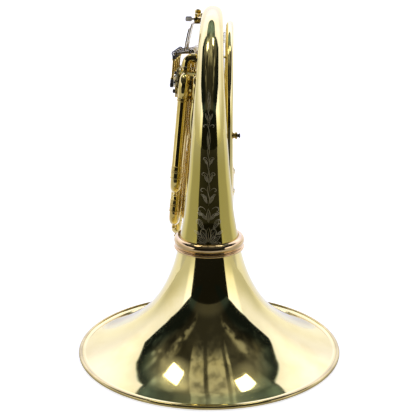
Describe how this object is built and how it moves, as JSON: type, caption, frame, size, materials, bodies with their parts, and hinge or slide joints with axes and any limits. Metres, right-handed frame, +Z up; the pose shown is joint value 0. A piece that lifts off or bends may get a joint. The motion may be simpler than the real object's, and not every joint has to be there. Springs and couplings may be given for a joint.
{
  "type": "double french horn",
  "caption": "Double french horn with a screw-on bell, rotary valves, finger and thumb levers, ball links and pull slides, standing on its bell.",
  "frame": {"origin": "centre of the bounding box, on the floor that the bell's rim stands on", "axes": "+Z up along the bell's axis; +Y from the bell's throat towards the far side of the coil, where the mouthpiece end points; +X to the right seen from the bell's side, with the valves on the -X side"},
  "size_m": [0.311, 0.4492, 0.39],
  "materials": {
    "yellow_brass": "clear-lacquered polished yellow brass",
    "rose_brass": "polished rose brass",
    "nickel_silver": "polished nickel silver",
    "steel": "bright steel",
    "black_plastic": "black moulded plastic"
  },
  "bodies": {
    "horn_body": {"change_valve_casing": "yellow_brass", "change_bearing_plate": "yellow_brass", "change_valve_cap": "yellow_brass", "f_tuning_sleeves": "yellow_brass", "first_valve_casing": "yellow_brass", "first_bearing_plate": "yellow_brass", "first_valve_cap": "yellow_brass", "first_f_sleeves": "yellow_brass", "first_b_flat_sleeves": "yellow_brass", "second_valve_casing": "yellow_brass", "second_bearing_plate": "yellow_brass", "second_valve_cap": "yellow_brass", "second_f_sleeves": "yellow_brass", "second_b_flat_sleeves": "yellow_brass", "third_valve_casing": "yellow_brass", "third_bearing_plate": "yellow_brass", "third_valve_cap": "yellow_brass", "third_f_sleeves": "yellow_brass", "third_b_flat_sleeves": "yellow_brass", "crossover_arch": "yellow_brass", "lever_bracket": "yellow_brass", "lever_hinge_rod": "steel", "bell_tail": "yellow_brass", "bell_ring_upper": "rose_brass", "bell_branch": "yellow_brass", "leadpipe": "yellow_brass", "mouthpiece_receiver": "nickel_silver", "main_tuning_sleeves": "yellow_brass", "lead_tube": "yellow_brass", "water_key_barrel": "yellow_brass", "hook_saddle": "yellow_brass", "finger_hook": "yellow_brass", "hook_screw": "nickel_silver", "leadpipe_stay": "yellow_brass", "coil_stay": "yellow_brass", "valve_row_stay": "yellow_brass"},
    "bell": {"bell_flare": "yellow_brass", "bell_rim_wire": "steel", "bell_ring_lower": "rose_brass"},
    "main_tuning_slide": {"main_tuning_slide": "yellow_brass"},
    "f_tuning_slide": {"f_tuning_slide": "yellow_brass"},
    "first_f_slide": {"first_f_slide": "yellow_brass"},
    "first_b_flat_slide": {"first_b_flat_slide": "yellow_brass"},
    "second_f_slide": {"second_f_slide": "yellow_brass"},
    "second_b_flat_slide": {"second_b_flat_slide": "yellow_brass"},
    "third_f_slide": {"third_f_slide": "yellow_brass"},
    "third_b_flat_slide": {"third_b_flat_slide": "yellow_brass"},
    "thumb_lever": {"thumb_lever": "yellow_brass"},
    "thumb_link": {"thumb_link": "black_plastic"},
    "change_rotor": {"change_rotor": "nickel_silver"},
    "first_lever": {"first_lever": "yellow_brass"},
    "first_link": {"first_link": "black_plastic"},
    "first_rotor": {"first_rotor": "nickel_silver"},
    "second_lever": {"second_lever": "yellow_brass"},
    "second_link": {"second_link": "black_plastic"},
    "second_rotor": {"second_rotor": "nickel_silver"},
    "third_lever": {"third_lever": "yellow_brass"},
    "third_link": {"third_link": "black_plastic"},
    "third_rotor": {"third_rotor": "nickel_silver"},
    "water_key_button": {"water_key_button": "black_plastic"}
  },
  "joints": [
    {"name": "bell_screw", "type": "hinge", "parent": "horn_body", "child": "bell", "pos_m": [0, -0.06915, -0.00009], "axis": [0, 0, 1], "range_deg": [0, 1080]},
    {"name": "main_tuning_pull", "type": "slide", "parent": "horn_body", "child": "main_tuning_slide", "axis": [0, 1, 0], "range_m": [0, 0.03]},
    {"name": "f_tuning_pull", "type": "slide", "parent": "horn_body", "child": "f_tuning_slide", "axis": [-0.0872, -0.1386, -0.9865], "range_m": [0, 0.025]},
    {"name": "first_f_pull", "type": "slide", "parent": "horn_body", "child": "first_f_slide", "axis": [-0.0872, -0.1386, -0.9865], "range_m": [0, 0.04]},
    {"name": "first_b_flat_pull", "type": "slide", "parent": "horn_body", "child": "first_b_flat_slide", "axis": [-0.0872, -0.1386, -0.9865], "range_m": [0, 0.04]},
    {"name": "second_f_pull", "type": "slide", "parent": "horn_body", "child": "second_f_slide", "axis": [-0.0872, -0.1386, -0.9865], "range_m": [0, 0.02]},
    {"name": "second_b_flat_pull", "type": "slide", "parent": "horn_body", "child": "second_b_flat_slide", "axis": [-0.0872, -0.1386, -0.9865], "range_m": [0, 0.012]},
    {"name": "third_f_pull", "type": "slide", "parent": "horn_body", "child": "third_f_slide", "axis": [-0.0872, -0.1386, -0.9865], "range_m": [0, 0.04]},
    {"name": "third_b_flat_pull", "type": "slide", "parent": "horn_body", "child": "third_b_flat_slide", "axis": [-0.0872, -0.1386, -0.9865], "range_m": [0, 0.04]},
    {"name": "thumb_lever_press", "type": "hinge", "parent": "horn_body", "child": "thumb_lever", "pos_m": [-0.02276, 0.01531, 0.34323], "axis": [0, 0.9903, -0.1392], "range_deg": [0, 20], "stiffness_Nm_per_rad": 0.15, "springref_deg": -17.19},
    {"name": "change_rotor_turn", "type": "hinge", "parent": "horn_body", "child": "change_rotor", "pos_m": [0, -0.00711, 0.30788], "axis": [0.9962, -0.0121, -0.0863], "range_deg": [0, 90]},
    {"name": "thumb_link_travel", "type": "slide", "parent": "horn_body", "child": "thumb_link", "axis": [0.0872, 0.1386, 0.9865], "range_m": [0, 0.007]},
    {"name": "first_lever_press", "type": "hinge", "parent": "horn_body", "child": "first_lever", "pos_m": [-0.02276, 0.05713, 0.33735], "axis": [0, 0.9903, -0.1392], "range_deg": [0, 20], "stiffness_Nm_per_rad": 0.15, "springref_deg": -17.19},
    {"name": "first_rotor_turn", "type": "hinge", "parent": "horn_body", "child": "first_rotor", "pos_m": [0, 0.03448, 0.30203], "axis": [0.9962, -0.0121, -0.0863], "range_deg": [0, 90]},
    {"name": "first_link_travel", "type": "slide", "parent": "horn_body", "child": "first_link", "axis": [0.0872, 0.1386, 0.9865], "range_m": [0, 0.007]},
    {"name": "second_lever_press", "type": "hinge", "parent": "horn_body", "child": "second_lever", "pos_m": [-0.02276, 0.08483, 0.33346], "axis": [0, 0.9903, -0.1392], "range_deg": [0, 20], "stiffness_Nm_per_rad": 0.15, "springref_deg": -17.19},
    {"name": "second_rotor_turn", "type": "hinge", "parent": "horn_body", "child": "second_rotor", "pos_m": [0, 0.07607, 0.29618], "axis": [0.9962, -0.0121, -0.0863], "range_deg": [0, 90]},
    {"name": "second_link_travel", "type": "slide", "parent": "horn_body", "child": "second_link", "axis": [0.0872, 0.1386, 0.9865], "range_m": [0, 0.007]},
    {"name": "third_lever_press", "type": "hinge", "parent": "horn_body", "child": "third_lever", "pos_m": [-0.02276, 0.11617, 0.32905], "axis": [0, 0.9903, -0.1392], "range_deg": [0, 20], "stiffness_Nm_per_rad": 0.15, "springref_deg": -17.19},
    {"name": "third_rotor_turn", "type": "hinge", "parent": "horn_body", "child": "third_rotor", "pos_m": [0, 0.11766, 0.29034], "axis": [0.9962, -0.0121, -0.0863], "range_deg": [0, 90]},
    {"name": "third_link_travel", "type": "slide", "parent": "horn_body", "child": "third_link", "axis": [0.0872, 0.1386, 0.9865], "range_m": [0, 0.007]},
    {"name": "water_key_press", "type": "slide", "parent": "horn_body", "child": "water_key_button", "axis": [-1, 0, 0], "range_m": [0, 0.0015], "stiffness_N_per_m": 400, "springref_m": -0.002}
  ],
  "couplings": [
    {"joint": "change_rotor_turn", "follows": "thumb_lever_press", "ratio": 4.5},
    {"joint": "thumb_link_travel", "follows": "thumb_lever_press", "m_per_rad": 0.019852},
    {"joint": "first_rotor_turn", "follows": "first_lever_press", "ratio": 4.5},
    {"joint": "first_link_travel", "follows": "first_lever_press", "m_per_rad": 0.019852},
    {"joint": "second_rotor_turn", "follows": "second_lever_press", "ratio": 4.5},
    {"joint": "second_link_travel", "follows": "second_lever_press", "m_per_rad": 0.019852},
    {"joint": "third_rotor_turn", "follows": "third_lever_press", "ratio": 4.5},
    {"joint": "third_link_travel", "follows": "third_lever_press", "m_per_rad": 0.019852}
  ]
}
